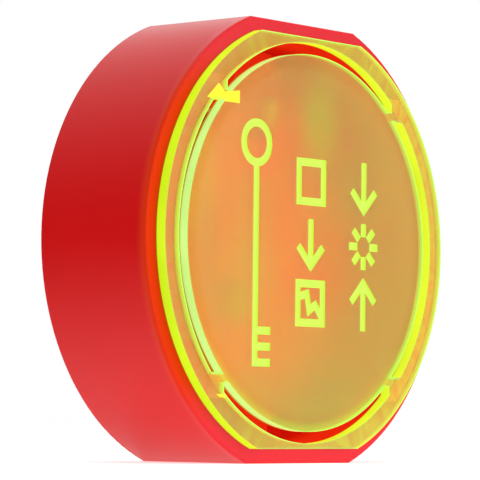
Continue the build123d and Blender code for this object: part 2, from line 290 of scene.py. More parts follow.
class SharedEffects:
    """The node groups that several finishes place with their own values."""

    def __init__(self) -> None:
        """Build each group once."""
        self.grain = self._moulded_grain()
        self.handling = self._handling_marks()
        self.striations = self._cut_striations()

    def _moulded_grain(self) -> NodeTree:
        """Fine spark-eroded grain with slow flow marks: a height, and a mask of the smoother patches.

        Returns:
            The group.
        """
        labels = {"Grain per metre": 2600.0, "Flow per metre": 18.0}
        graph, given, made = new_group("moulded_grain", labels, "Height", "Patches")
        where = graph.position()
        fine = graph.node("ShaderNodeTexNoise", {"Vector": where, "Scale": given[0], "Detail": 3.0})
        flow = graph.node("ShaderNodeTexNoise", {"Vector": where, "Scale": given[1], "Detail": 2.0})
        graph.fill(made, {"Height": fine.outputs[0], "Patches": graph.ramp(flow.outputs[0], *PATCHES)})
        return graph.tree

    def _handling_marks(self) -> NodeTree:
        """Sparse hair scratches in two directions and soft smears: one mask of each.

        Returns:
            The group.
        """
        labels = {"Scratches per metre": 60.0}
        graph, given, made = new_group("handling_marks", labels, "Scratches", "Smears")
        lines = []
        for turn, squeeze in ((0.5, 22.0), (-0.9, 15.0)):
            turned = {"Rotation": (0.0, turn, 0.0), "Scale": (squeeze, 1.0, 1.0)}
            where = graph.node("ShaderNodeMapping", {"Vector": graph.position(), **turned}).outputs[0]
            hair = graph.node("ShaderNodeTexNoise", {"Vector": where, "Scale": given[0], "Detail": 1.0})
            lines.append(graph.ramp(hair.outputs[0], *HAIRS))
        smear = graph.node("ShaderNodeTexNoise", {"Vector": graph.position(), "Scale": 40.0, "Detail": 4.0})
        graph.fill(made, {"Scratches": graph.most(*lines), "Smears": graph.ramp(smear.outputs[0], *SMEARS)})
        return graph.tree

    def _cut_striations(self) -> NodeTree:
        """Laser striations: ridges that run through the sheet's thickness, along Y, around the cut.

        Returns:
            The group.
        """
        graph, given, made = new_group("cut_striations", {"Ridges per metre": 2200.0}, "Height")
        flat = graph.node("ShaderNodeMapping", {"Vector": graph.position(), "Scale": (1.0, 0.05, 1.0)})
        inputs = {"Vector": flat.outputs[0], "Scale": given[0], "Detail": 1.0}
        graph.fill(made, {"Height": graph.node("ShaderNodeTexNoise", inputs).outputs[0]})
        return graph.tree


EFFECTS = SharedEffects()


# ---- Finishes ----
class Finish:
    """A material on one Principled shader. Each kind is a frozen dataclass with the material's name."""

    name: str

    def sockets(self, graph: Graph) -> Inputs:
        """Return the shader's inputs.

        Args:
            graph: the material's graph.

        Returns:
            A plain value or a linked socket by the input's name.
        """
        raise NotImplementedError

    def material(self) -> Material:
        """Build the material.

        Returns:
            The new material.
        """
        made = bpy.data.materials.new(self.name)
        made.use_nodes = True
        made.node_tree.nodes.clear()
        graph = Graph(made.node_tree)
        shader = graph.node("ShaderNodeBsdfPrincipled", self.sockets(graph))
        graph.node("ShaderNodeOutputMaterial", {"Surface": shader.outputs[0]})
        return made


@dataclass(frozen=True)
class Patterned(Finish):
    """A finish that goes from one colour and roughness to another with a mask, and has a fine relief.

    Args:
        name: the material's name.
        colours: the two colours.
        roughness: the two roughnesses.
        relief: height of the relief.
        strength: share of it that shows.
    """

    name: str
    colours: tuple[RGB, RGB]
    roughness: Point2
    relief: float
    strength: float = 1.0

    def pattern(self, graph: Graph) -> Pattern:
        """Return the mask, the height and the shader's other inputs."""
        raise NotImplementedError

    def sockets(self, graph: Graph) -> Inputs:
        """Work out the shader's inputs from the pattern.

        Args:
            graph: the material's graph.

        Returns:
            A plain value or a linked socket by the input's name.
        """
        mask, height, others = self.pattern(graph)
        rough = graph.ramp(mask, 0.0, 1.0, *self.roughness)
        normal = graph.bump(height, self.relief, self.strength)
        colour = graph.mix(mask, *self.colours)
        return {"Base Color": colour, "Roughness": rough, "Normal": normal, **others}


@dataclass(frozen=True)
class MouldedPlastic(Patterned):
    """Red plastic with a fine grain, slow colour drift and light that comes through its walls.

    Args:
        inner_glow: brightness of that light, at the sides and by the thinner flats.
        deep_share: share of it that is left far inside.
        inner_radius: radius up to which a surface is inside.
    """

    relief: float = 0.02 * MM
    inner_glow: Point2 = (0.0, 0.0)
    deep_share: float = 1.0
    inner_radius: float = 51.4 * MM

    def pattern(self, graph: Graph) -> Pattern:
        """Work out the slow patches, the grain and the shader's other inputs.

        Args:
            graph: the material's graph.

        Returns:
            The mask, the height and the other inputs by name.
        """
        grain = graph.effect(EFFECTS.grain)
        others = {
            "IOR": ACRYLIC_IOR,
            "Specular IOR Level": 0.05,
            "Coat Roughness": 0.35,
            "Coat IOR": 1.5,
            "Emission Color": self.own_light(graph),
            "Emission Strength": 1.0,
        }
        return grain["Patches"], grain["Height"], others

    def sockets(self, graph: Graph) -> Inputs:
        """Work out the shader's inputs, rougher where the plastic is scratched.

        Args:
            graph: the material's graph.

        Returns:
            A plain value or a linked socket by the input's name.
        """
        inputs = super().sockets(graph)
        scratches = graph.effect(EFFECTS.handling, {"Scratches per metre": 45.0})["Scratches"]
        inputs["Roughness"] = graph.maths("MULTIPLY_ADD", scratches, SCRATCHED, inputs["Roughness"])
        return inputs

    def in_bore(self, graph: Graph) -> Socket:
        """Return 1 within the inner radius."""
        return graph.maths("LESS_THAN", graph.radius(), self.inner_radius)

    def glow_share(self, graph: Graph) -> Socket:
        """Work out the light through the walls: none outside, and inside by height and depth.

        Args:
            graph: the material's graph.

        Returns:
            The light's brightness.
        """
        y, high = graph.axes()[1], graph.height()
        in_flats = graph.maths("LESS_THAN", high, INNER_HALF_FLAT)
        off_back = graph.maths("LESS_THAN", y, BACK_FACE)
        up_side = graph.ramp(high, *BORE_TO_FLATS, *self.inner_glow)
        deeper = graph.ramp(y, *FAR_INSIDE, 1.0, self.deep_share)
        return graph.product(self.in_bore(graph), in_flats, off_back, up_side, deeper)

    def own_light(self, graph: Graph) -> Socket:
        """Return the colour of the light through the walls."""
        return graph.mix(self.glow_share(graph), BLACK, INNER_LIGHT)


@dataclass(frozen=True)
class CasePlastic(MouldedPlastic):
    """The case's plastic, polished outside, with the sheet's light in its front face and beside the sheet.

    Args:
        gloss: weight of the polished skin, at mid height and by the flats.
        seat_glow: brightness of the light in the seat, the face that the sheet lies on.
        seat_share: share of it that is left by the flats.
        edge_light: colour of the sheet's light beside the sheet, at the sides and by the flats.
    """

    gloss: Point2 = (0.10, 0.55)
    seat_glow: float = 0.21
    seat_share: float = 0.75
    edge_light: tuple[RGB, RGB] = ((0.07, 0.036, 0.0), (0.09, 0.034, 0.045))

    def sockets(self, graph: Graph) -> Inputs:
        """Work out the shader's inputs, with the polished skin on the outer wall.

        Args:
            graph: the material's graph.

        Returns:
            A plain value or a linked socket by the input's name.
        """
        up_side = graph.ramp(graph.height(), *SKIN_TO_FLATS, *self.gloss)
        skin = graph.product(up_side, graph.ramp(graph.axes()[1], *SKIN_BEGINS), self.off_bore(graph))
        return {**super().sockets(graph), "Coat Weight": skin}

    def off_bore(self, graph: Graph) -> Socket:
        """Return 1 beyond the inner radius."""
        return graph.maths("SUBTRACT", 1.0, self.in_bore(graph))

    def glow_share(self, graph: Graph) -> Socket:
        """Add the seat's brightness to that inside.

        Args:
            graph: the material's graph.

        Returns:
            The light's brightness.
        """
        under_sheet = graph.maths("GREATER_THAN", graph.from_outline(), 0.0)
        in_front = graph.maths("LESS_THAN", graph.axes()[1], FRONT_FACE)
        up_side = graph.ramp(graph.height(), *SEAT_TO_FLATS, 1.0, self.seat_share)
        seat = graph.product(under_sheet, in_front, self.off_bore(graph), up_side)
        return graph.maths("MULTIPLY_ADD", seat, self.seat_glow, super().glow_share(graph))

    def own_light(self, graph: Graph) -> Socket:
        """Add the sheet's light beside the sheet to that through the walls.

        Args:
            graph: the material's graph.

        Returns:
            The light's colour.
        """
        outline = graph.from_outline()
        near = graph.ramp(graph.axes()[1], SPILL_BEGINS, SHEET_BACK)
        outside = graph.maths("LESS_THAN", outline, 0.0)
        beside = graph.product(near, graph.ramp(outline, *SPILL_REACH), outside)
        light = graph.mix(graph.ramp(graph.height(), *RIM_TO_FLATS), *self.edge_light)
        return graph.mix(1.0, super().own_light(graph), graph.mix(beside, BLACK, light), blend="ADD")


@dataclass(frozen=True)
class BareMetal(Patterned):
    """Metal with fine working lines and a faint tarnish.

    Args:
        lines: how much closer the working lines stand along each axis.
    """

    roughness: Point2 = (0.24, 0.42)
    relief: float = 0.01 * MM
    lines: Point3 = (1.0, 1.0, 14.0)

    def pattern(self, graph: Graph) -> Pattern:
        """Return the tarnish, the lines and the shader's other inputs."""
        tarnish = graph.ramp(graph.noise(scale=220.0, detail=3.0), *TARNISH)
        return tarnish, graph.noise(scale=900.0, stretch=self.lines), {"Metallic": 1.0}


@dataclass(frozen=True)
class LitFinish(Patterned):
    """A dull finish that takes the light which comes through the case's walls.

    Args:
        glow: brightness of that light.
        specular: share of a plain plastic's reflection.
    """

    glow: float = 0.0
    specular: float = 0.25

    def others(self) -> Inputs:
        """Return the shader's inputs for its reflection and that light."""
        light = {"Emission Color": INNER_LIGHT, "Emission Strength": self.glow}
        return {"Specular IOR Level": self.specular, **light}


@dataclass(frozen=True)
class Foam(LitFinish):
    """Closed-cell foam: the first colour is painted shade down in the cells, darker than the second, which
    is that of their walls.

    Args:
        cells: cells per metre.
    """

    roughness: Point2 = (0.95, 0.75)
    relief: float = 0.1 * MM
    strength: float = 0.6
    cells: float = 1800.0

    def pattern(self, graph: Graph) -> Pattern:
        """Work out the cell walls, which are also the height, and the shader's other inputs.

        Args:
            graph: the material's graph.

        Returns:
            The mask, the height and the other inputs by name.
        """
        cells = graph.node("ShaderNodeTexVoronoi", {"Vector": graph.position(), "Scale": self.cells})
        # the cells' middles, which the bump makes low, get the first colour: painted shade in the pits
        wall = graph.ramp(cells.outputs["Distance"], *CELLS)
        return wall, wall, self.others()


@dataclass(frozen=True)
class SoftRubber(LitFinish):
    """Soft moulded rubber with a dry sheen: the second colour is that of its rubbed spots."""

    roughness: Point2 = (0.66, 0.52)
    relief: float = 0.04 * MM
    specular: float = 0.35
    sheen: float = 0.08

    def pattern(self, graph: Graph) -> Pattern:
        """Return the rubbed spots, the grain and the shader's other inputs."""
        grain = graph.effect(EFFECTS.grain, {"Grain per metre": 3400.0, "Flow per metre": 90.0})
        return grain["Patches"], grain["Height"], {**self.others(), "Sheen Weight": self.sheen}


@dataclass(frozen=True)
class PlainCard(LitFinish):
    """Uncoated card with short fibres, which have the second colour."""

    roughness: Point2 = (0.85, 0.92)
    relief: float = 0.02 * MM
    specular: float = 0.2

    def pattern(self, graph: Graph) -> Pattern:
        """Return the fibres, the same as the height, and the shader's other inputs."""
        fibres = graph.ramp(graph.noise(scale=1500.0, detail=4.0, stretch=(4.0, 1.0, 1.0)), *FIBRES)
        return fibres, fibres, self.others()


@dataclass(frozen=True)
class ClearSheet(Finish):
    """Thin clear plastic, such as the tag's window or the tape.

    Args:
        name: the material's name.
        tint: colour of what passes through.
        clearness: share of the light that passes.
        blur: roughness of the faces.
        glow: colour of the light that it passes on from beside it.
        strength: brightness of that light.
    """

    name: str
    tint: RGB
    clearness: float
    blur: float
    glow: RGB = WHITE
    strength: float = 0.0

    def sockets(self, graph: Graph) -> Inputs:
        """Work out the shader's inputs, a little duller and rougher in smears.

        Args:
            graph: the material's graph.

        Returns:
            A plain value or a linked socket by the input's name.
        """
        smears = graph.effect(EFFECTS.handling, {"Scratches per metre": 150.0})["Smears"]
        return {
            "Base Color": graph.mix(smears, self.tint, dimmed(self.tint, SMEARED_TINT)),
            "Metallic": 0.0,
            "Roughness": graph.maths("MULTIPLY_ADD", smears, SMEARED_SHEET, self.blur),
            "IOR": 1.46,
            "Transmission Weight": self.clearness,
            "Emission Color": self.glow,
            "Emission Strength": self.strength,
        }


class CutWall(Enum):
    """A laser-cut wall of the acrylic: its material's name and the colour of its glow."""

    OUTER_EDGE = ("acrylic_outer_edge", (0.490, 0.760, 0.012))
    RIM_SLOT = ("acrylic_rim_slot", (0.605, 0.780, 0.025))
    DISC_EDGE = ("acrylic_disc_edge", (0.475, 0.760, 0.230))


@dataclass(frozen=True)
class CutEdge(Finish):
    """A laser-cut wall of fluorescent acrylic, where the light that the sheet gathers comes out.

    Args:
        wall: which wall it is.
        shade_line: height of the painted shade line along the wall's back.
        shade_line_colour: its colour, darker than the glow.
        neck: how far from a slot the wall of a bridge stays clear.
        brim: colour of the wall's front border as it looks from inside the sheet.
        within: colour of the middle of the wall as it looks from there.
        brim_fade: depths below the front face between which the first turns to the second.
        fade: depths between which the second turns to the colour of the back.
        bridge: colour of its back, and of the wall where a bridge hides it.
        dullest: share of the glow where it is weakest.
    """

    wall: CutWall
    # painted shade: along the wall's back the glow gives way to a darker colour
    shade_line: float = 0.25 * MM
    shade_line_colour: RGB = (0.16, 0.05, 0.0)
    neck: float = 0.15 * MM
    brim: RGB = (0.50, 1.10, 0.60)
    within: RGB = (0.34, 0.78, 0.16)
    brim_fade: Point2 = mm(0.3, 0.9)
    fade: Point2 = mm(1.5, 2.9)
    bridge: RGB = (0.54, 0.20, 0.01)
    dullest: float = 0.88

    @property
    def name(self) -> str:
        """Return the material's name."""
        return self.wall.value[0]

    def sockets(self, graph: Graph) -> Inputs:
        """Work out the shader's inputs: the glow, what shows from inside the sheet, and the painted shade
        line.

        Args:
            graph: the material's graph.

        Returns:
            A plain value or a linked socket by the input's name.
        """
        glow = self.wall.value[1]
        y = graph.axes()[1]
        inside = graph.node("ShaderNodeNewGeometry").outputs["Backfacing"]
        drift = graph.ramp(graph.noise(scale=70.0), *DRIFT, self.dullest, 1.0)
        deep = graph.maths("SUBTRACT", y, SHEET_FRONT)
        through = graph.mix(graph.ramp(deep, *self.brim_fade), self.brim, self.within)
        through = graph.mix(graph.ramp(deep, *self.fade), through, self.bridge)
        lit = graph.mix(drift, BLACK, graph.mix(inside, glow, through))
        if self.wall is not CutWall.OUTER_EDGE:
            lit = graph.mix(graph.ramp(graph.from_slots(), self.neck, 3.0 * self.neck), lit, self.bridge)
        # painted shade: the outward face of the wall gets a darker colour along its back
        above_shade_line = graph.ramp(y, SHEET_BACK - self.shade_line, SHEET_BACK - 0.5 * self.shade_line, 1.0, 0.0)
        return {
            "Base Color": dimmed(glow, CUT_BASE),
            "Roughness": 0.28,
            "IOR": ACRYLIC_IOR,
            "Emission Color": graph.mix(graph.most(above_shade_line, inside), self.shade_line_colour, lit),
            "Emission Strength": 1.0,
            "Normal": graph.bump(graph.effect(EFFECTS.striations)["Height"], CUT_RELIEF),
        }


@dataclass(frozen=True)
class EngravedMark(Finish):
    """The rastered floor and walls of an engraving, which glow like the cut edges.

    Args:
        name: the material's name.
        colour: colour of the gathered light.
        strength: its brightness.
    """

    name: str = "acrylic_engraving"
    colour: RGB = (0.60, 0.93, 0.060)
    strength: float = 0.72

    def sockets(self, graph: Graph) -> Inputs:
        """Work out the shader's inputs, with the raster's lines along X.

        Args:
            graph: the material's graph.

        Returns:
            A plain value or a linked socket by the input's name.
        """
        drift = graph.ramp(graph.noise(scale=90.0), *DRIFT)
        raster = graph.noise(scale=2400.0, detail=1.0, stretch=(0.1, 1.0, 1.0))
        return {
            "Base Color": dimmed(self.colour, MARK_BASE),
            "Roughness": 0.5,
            "IOR": ACRYLIC_IOR,
            "Emission Color": graph.mix(drift, dimmed(self.colour, MARK_DULLEST), self.colour),
            "Emission Strength": self.strength,
            "Normal": graph.bump(raster, CUT_RELIEF),
        }


@dataclass(frozen=True)
class LitPatch:
    """A patch of the sheet's front face where the light gathered at a bridge shows.

    Args:
        corners: its convex outline, as X and Z.
        softness: half width of its fading border.
    """

    corners: tuple[Point2, ...]
    softness: float = 0.10 * MM

    def mask(self, graph: Graph) -> Socket:
        """Add the mask of the patch: the least distance to its sides, faded over the border.

        Args:
            graph: the material's graph.

        Returns:
            A value that is 1 inside the outline.
        """
        x, _, z = graph.axes()
        middle = np.mean(self.corners, axis=0)
        nearest = 1.0
        for first, second in zip(self.corners, self.corners[1:] + self.corners[:1]):
            run_x, run_z = second[0] - first[0], second[1] - first[1]
            length = hypot(run_x, run_z)
            normal_x, normal_z = -run_z / length, run_x / length
            offset = -(normal_x * first[0] + normal_z * first[1])
            side = 1.0 if normal_x * middle[0] + normal_z * middle[1] + offset > 0 else -1.0
            inwards = graph.maths("MULTIPLY_ADD", z, side * normal_z, side * offset)
            inwards = graph.maths("MULTIPLY_ADD", x, side * normal_x, inwards)
            nearest = graph.maths("MINIMUM", nearest, inwards)
        return graph.ramp(nearest, -self.softness, self.softness)


BRIDGE_LIGHT = (
    LitPatch((mm(-34.8, 33.2), mm(-34.8, 35.6), mm(-28.9, 36.4), mm(-28.9, 33.2))),
    LitPatch((mm(-41.4, 33.7), mm(-37.0, 37.6), mm(-34.7, 35.5), mm(-34.7, 33.2))),
    LitPatch((mm(-36.7, -39.0), mm(-33.1, -39.1), mm(-33.1, -39.9), mm(-35.3, -39.8))),
)


@dataclass(frozen=True)
class HazePatch:
    """A soft oval on the disc where its haze has another colour.

    Args:
        centre: its middle, as X and Z.
        reach: its half width and its half height.
        haze: colour of the haze in its middle.
        core: share of the reach up to which the colour is full.
    """

    centre: Point2
    reach: Point2
    haze: RGB
    core: float = 0.2

    def over(self, graph: Graph, haze: Socket) -> Socket:
        """Lay the patch over a haze, by the distance from its middle in shares of its reach.

        Args:
            graph: the material's graph.
            haze: colour of the haze under it.

        Returns:
            The colour of both.
        """
        x, _, z = graph.axes()
        across = graph.maths("DIVIDE", graph.maths("SUBTRACT", x, self.centre[0]), self.reach[0])
        along = graph.maths("DIVIDE", graph.maths("SUBTRACT", z, self.centre[1]), self.reach[1])
        return graph.mix(graph.ramp(graph.span(across, along), self.core, 1.0, 1.0, 0.0), haze, self.haze)


DISC_PATCHES = (
    HazePatch(mm(2.0, -3.0), mm(30.0, 25.0), (0.064, 0.028, 0.0)),
    HazePatch(mm(4.0, 30.0), mm(10.5, 18.0), (0.0, 0.085, 0.0)),
    HazePatch(mm(-45.0, 13.0), mm(15.0, 22.0), (0.0, 0.085, 0.0)),
    HazePatch(mm(48.0, 20.0), mm(34.0, 40.0), (0.045, 0.060, 0.010)),
)


@dataclass(frozen=True)
class AcrylicFace(Finish):
    """The clear faces of the fluorescent sheet: what is behind shows through a lime haze.

    Args:
        name: the material's name.
        tint: colour of what passes through.
        flat_tint: the tint by the top and the bottom of the disc.
        disc_haze: colour of the disc's own light at its left and at its right.
        low_haze: what it gains in the disc's lower half.
        brim_haze: what it gains along the disc's lower edge.
        rim_haze: colour of the rim's own light at its left and at its right.
        flat_haze: what it gains by the flats.
        cloud: what both gain where the sheet is cloudier.
        lip: colour of the lit line along the slots and the flats.
        lip_tint: colour of what passes through that line.
        gathered: colour of the light gathered at the bridges.
        lip_width: width of the lit line along the slots.
        flat_lip: its width along the flats.
        end_lip: what its width gains at the ends of the side slots.
        clearness: share of the light that passes.
        blur: roughness near a cut, and of the rest, which hands wipe dull.
    """

    name: str = "acrylic_face"
    tint: RGB = (0.96, 0.66, 0.01)
    flat_tint: RGB = (0.77, 0.75, 0.012)
    disc_haze: tuple[RGB, RGB] = ((0.045, 0.020, 0.0), (0.0, 0.045, 0.006))
    low_haze: RGB = (0.0, 0.035, 0.0)
    brim_haze: RGB = (0.0, 0.15, 0.0)
    rim_haze: tuple[RGB, RGB] = ((0.030, 0.110, 0.0), (0.060, 0.230, 0.004))
    flat_haze: RGB = (0.030, 0.095, 0.0)
    cloud: RGB = (0.0, 0.030, 0.002)
    lip: RGB = (0.16, 0.50, 0.05)
    lip_tint: RGB = (0.40, 0.62, 0.06)
    gathered: RGB = (0.45, 0.85, 0.0)
    lip_width: float = 0.26 * MM
    flat_lip: float = 0.38 * MM
    end_lip: float = 0.35 * MM
    clearness: float = 0.91
    blur: Point2 = (0.10, 0.26)

    def sockets(self, graph: Graph) -> Inputs:
        """Work out the shader's inputs: what passes through, by the haze, the lines and the wear.

        Args:
            graph: the material's graph.

        Returns:
            A plain value or a linked socket by the input's name.
        """
        smears = graph.effect(EFFECTS.handling, {"Scratches per metre": 70.0})["Smears"]
        cloud = graph.ramp(graph.noise(scale=26.0, detail=3.0), *CLOUDS)
        off_flat = graph.maths("SUBTRACT", SHEET_HALF_FLAT, graph.height())
        to_flat = graph.product(off_flat, self.lip_width / self.flat_lip)
        by_cut = graph.maths("MINIMUM", graph.from_slots(self.end_lip), to_flat)
        lip = graph.ramp(by_cut, LIP_CORE * self.lip_width, self.lip_width, 1.0, 0.0)
        on_disc = graph.maths("LESS_THAN", graph.radius(), DISC_RADIUS)
        by_flats = graph.product(on_disc, graph.ramp(graph.height(), *BORE_TO_FLATS))
        tint = graph.mix(cloud, self.tint, dimmed(self.tint, CLOUDY_TINT))
        passing = graph.mix(by_flats, tint, self.flat_tint)
        dull = graph.ramp(graph.from_slots(), *UNWIPED, *self.blur)
        return {
            "Base Color": graph.mix(lip, passing, self.lip_tint),
            "Metallic": 0.0,
            "Roughness": graph.maths("MULTIPLY_ADD", smears, SMEARED, dull),
            "IOR": ACRYLIC_IOR,
            "Transmission Weight": self.clearness,
            "Emission Color": self.own_light(graph, cloud, lip),
            "Emission Strength": 1.0,
        }

    def own_light(self, graph: Graph, cloud: Socket, lip: Socket) -> Socket:
        """Add the sheet's own light: its haze, the lit lines along the cuts and the patches at the bridges.

        Args:
            graph: the material's graph.
            cloud: mask of the cloudier places.
            lip: mask of the lit lines.

        Returns:
            The light's colour.
        """
        x, y, z = graph.axes()
        share = graph.ramp(graph.maths("MULTIPLY_ADD", z, HAZE_TILT, x), -HAZE_SPAN, HAZE_SPAN)
        on_rim = graph.ramp(graph.radius(), DISC_RADIUS + RIM_MARGIN, SLOT_RADIUS - RIM_MARGIN)
        haze = graph.mix(on_rim, self.disc_light(graph, share), self.rim_light(graph, share))
        haze = graph.mix(cloud, haze, graph.mix(1.0, haze, self.cloud, blend="ADD"))
        haze = graph.mix(lip, haze, self.lip)
        lit = graph.most(*(patch.mask(graph) for patch in BRIDGE_LIGHT))
        in_front = graph.maths("LESS_THAN", y, SHEET_FRONT + FACE_DEPTH)
        return graph.mix(graph.product(lit, in_front), haze, self.gathered)

    def rim_light(self, graph: Graph, share: Socket) -> Socket:
        """Return the rim's haze, where share is 0 at the left and 1 at the right."""
        by_flats = graph.ramp(graph.height(), *RIM_TO_FLATS)
        return graph.mix(by_flats, graph.mix(share, *self.rim_haze), self.flat_haze, blend="ADD")

    def disc_light(self, graph: Graph, share: Socket) -> Socket:
        """Add the disc's haze with its patches and its brim.

        Args:
            graph: the material's graph.
            share: 0 at the left and 1 at the right.

        Returns:
            The haze's colour.
        """
        z = graph.axes()[2]
        below = graph.ramp(z, *LOWER_HALF, 1.0, 0.0)
        haze = graph.mix(below, graph.mix(share, *self.disc_haze), self.low_haze, blend="ADD")
        for patch in DISC_PATCHES:
            haze = patch.over(graph, haze)
        by_edge = graph.ramp(graph.radius(), DISC_RADIUS - BRIM_WIDTH, DISC_RADIUS)
        brim = graph.product(by_edge, graph.ramp(z, *BRIM_HEIGHTS, 1.0, 0.0))
        return graph.mix(brim, haze, self.brim_haze, blend="ADD")


@dataclass(frozen=True)
class StudioWhite(Finish):
    """Matt white paper with a light of its own, so that it shows white where no shadow falls.

    Args:
        name: the material's name.
        light: brightness of its light near the object and far from it.
        fade: distances from the middle between which the first turns to the second.
        seen: least brightness that the camera and reflections see.
    """

    name: str = "studio_white"
    light: Point2 = (0.47, 0.0)
    fade: Point2 = (0.06, 0.40)
    seen: float = 0.62

    def sockets(self, graph: Graph) -> Inputs:
        """Work out the shader's inputs: its light fades with the distance from the middle.

        Args:
            graph: the material's graph.

        Returns:
            A plain value or a linked socket by the input's name.
        """
        x, y, _ = graph.axes()
        lit = graph.ramp(graph.span(x, y), *self.fade, *self.light)
        return {
            "Base Color": (0.86, 0.86, 0.86),
            "Roughness": 1.0,
            "Specular IOR Level": 0.0,
            "Emission Color": WHITE,
            "Emission Strength": graph.most(lit, graph.product(graph.rays("Camera", "Glossy"), self.seen)),
        }


# ---- Meshes ----
def new_piece(name: str, data: ID) -> Object:
    """Make an object.

    Args:
        name: its name.
        data: its mesh, lamp or camera.

    Returns:
        The new object, linked to the scene.
    """
    made = bpy.data.objects.new(name, data)
    bpy.context.scene.collection.objects.link(made)
    return made


def grid_piece(name: str, points: np.ndarray, around: bool, along: bool, caps: bool = False) -> Object:
    """Make a piece from a grid of points.

    Args:
        name: the piece's name.
        points: array of shape (rows, columns, 3), whose faces point outwards.
        around: whether the last column joins the first.
        along: whether the last row joins the first.
        caps: whether the first and the last row are closed with a face.

    Returns:
        The new object, linked to the scene.
    """
    rows, columns, _ = points.shape
    index = np.arange(rows * columns).reshape(rows, columns)
    down = np.concatenate([index, index[:1]]) if along else index
    grid = np.concatenate([down, down[:, :1]], axis=1) if around else down
    corners = (grid[:-1, :-1], grid[:-1, 1:], grid[1:, 1:], grid[1:, :-1])
    faces = np.stack([corner.ravel() for corner in corners], axis=1).tolist()
    if caps:
        faces += [index[0, ::-1].tolist(), index[-1].tolist()]
    mesh = bpy.data.meshes.new(name)
    mesh.from_pydata(points.reshape(-1, 3).tolist(), [], faces)
    mesh.validate()
    mesh.shade_smooth()
    return new_piece(name, mesh)


def smoothed_copy(node: str, name: str, crease: float) -> Object:
    """Copy a CAD node's mesh into a new piece, merged and shaded smooth up to the crease angle.

    Args:
        node: the CAD node.
        name: the new piece's name.
        crease: angle in degrees above which an edge stays sharp.

    Returns:
        The new object, linked to the scene, which stands for the node.
    """
    same_point = 0.001 * MM
    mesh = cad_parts[node].data.copy()
    mesh.name = name
    work = bmesh.new()
    work.from_mesh(mesh)
    bmesh.ops.remove_doubles(work, verts=work.verts, dist=same_point)
    work.to_mesh(mesh)
    work.free()
    if "custom_normal" in mesh.attributes:
        mesh.attributes.remove(mesh.attributes["custom_normal"])
    mesh.materials.clear()
    mesh.shade_smooth()
    mesh.set_sharp_from_angle(angle=radians(crease))
    piece = new_piece(name, mesh)
    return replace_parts(piece, node)


def face_centres(piece: Object) -> tuple[np.ndarray, np.ndarray]:
    """Read where a piece's faces are and where they point.

    Args:
        piece: the piece.

    Returns:
        The middles and the normals, as two arrays of shape (faces, 3).
    """
    found = []
    for attribute in ("center", "normal"):
        values = np.empty(3 * len(piece.data.polygons))
        piece.data.polygons.foreach_get(attribute, values)
        found.append(values.reshape(-1, 3))
    return found[0], found[1]


def dress(finish: Finish, *nodes: str) -> None:
    """Give CAD nodes that stay a finish.

    Args:
        finish: their finish.
        nodes: names of the nodes.
    """
    material = finish.material()
    for node in nodes:
        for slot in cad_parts[node].material_slots:
            slot.material = material
        log.info("%s: %s", node, material.name)


def finish_piece(piece: Object, body: str, slot: str, *materials: Material) -> None:
    """Give a new piece its materials and its body.

    Args:
        piece: the new piece.
        body: the body that it rides on.
        slot: not used.
        materials: materials in the order of its faces' indices.
    """
    for material in materials:
        piece.data.materials.append(material)
    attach(piece, body)
    log.info("%s on %s: %d faces", piece.name, body, len(piece.data.polygons))


# ---- Sub-assemblies ----
@dataclass
class Case:
    """The red case with its wall seal and its tapes, and the screws in it."""

    across: int = 16  # points round the seal's section
    along: int = 420  # sections along it
    half_width: float = 0.6 * MM  # of the seal
    power: float = 3.0  # of its section

    def build(self) -> None:
        """Build and dress every piece of the case, and the hook's screws, which are of the same steel."""
        reds = ((0.80, 0.002, 0.003), (0.76, 0.002, 0.003))
        glow = (0.03, 0.31)
        red = CasePlastic("red_case", reds, roughness=(0.17, 0.23), inner_glow=glow, deep_share=0.15)
        dress(red, "case_shell")
        steel = BareMetal("stainless_steel", ((0.52, 0.52, 0.54), (0.36, 0.36, 0.37)))
        dress(steel, "case_screws", "hook_screws")
        tint, glow = (0.90, 0.10, 0.05), (1.0, 0.02, 0.005)
        tape = ClearSheet("mounting_tape", tint, clearness=0.20, blur=0.35, glow=glow, strength=0.21)
        dress(tape, "pane_tapes")
        self.wall_seal()

    def wall_seal(self) -> None:
        """Make the foam seal: a superellipse section carried round the case's outline.

        The outline is a circle, and where it would pass the flats its points are drawn straight back to the
        centre until they lie on them.  The section is as wide and as deep as the groove, and its power of 3
        gives it a domed top.
        """
        never_zero = 1e-6
        low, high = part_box("wall_seal")
        half_depth = (high.y - low.y) / 2
        turn = np.linspace(0.0, 2 * pi, self.along, endpoint=False)
        to_flat = (high.z - self.half_width) / np.maximum(np.abs(np.sin(turn)), never_zero)
        reach = np.minimum(high.x - self.half_width, to_flat)
        middle = np.stack([reach * np.cos(turn), reach * np.sin(turn)], axis=-1)
        heading = np.roll(middle, -1, axis=0) - np.roll(middle, 1, axis=0)
        heading /= np.linalg.norm(heading, axis=1, keepdims=True)
        outwards = np.stack([heading[:, 1], -heading[:, 0]], axis=-1)
        section = np.linspace(0.0, 2 * pi, self.across, endpoint=False)
        waves = (np.cos(section), np.sin(section))
        across, rise = (np.sign(wave) * np.abs(wave) ** (2 / self.power) for wave in waves)
        flat = middle[:, None, :] + self.half_width * across[None, :, None] * outwards[:, None, :]
        height = np.broadcast_to(half_depth * (rise - 1), flat.shape[:2])
        points = np.stack([flat[..., 0], height, flat[..., 1]], axis=-1)
        piece = grid_piece("seal_cord", points, around=True, along=True)
        # its first colour is painted shade in the foam's cells
        foam = Foam("black_seal_foam", ((0.012, 0.012, 0.013), (0.035, 0.035, 0.036)))
        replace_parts(piece, "wall_seal")
        finish_piece(piece, "case", "black_foam", foam.material())


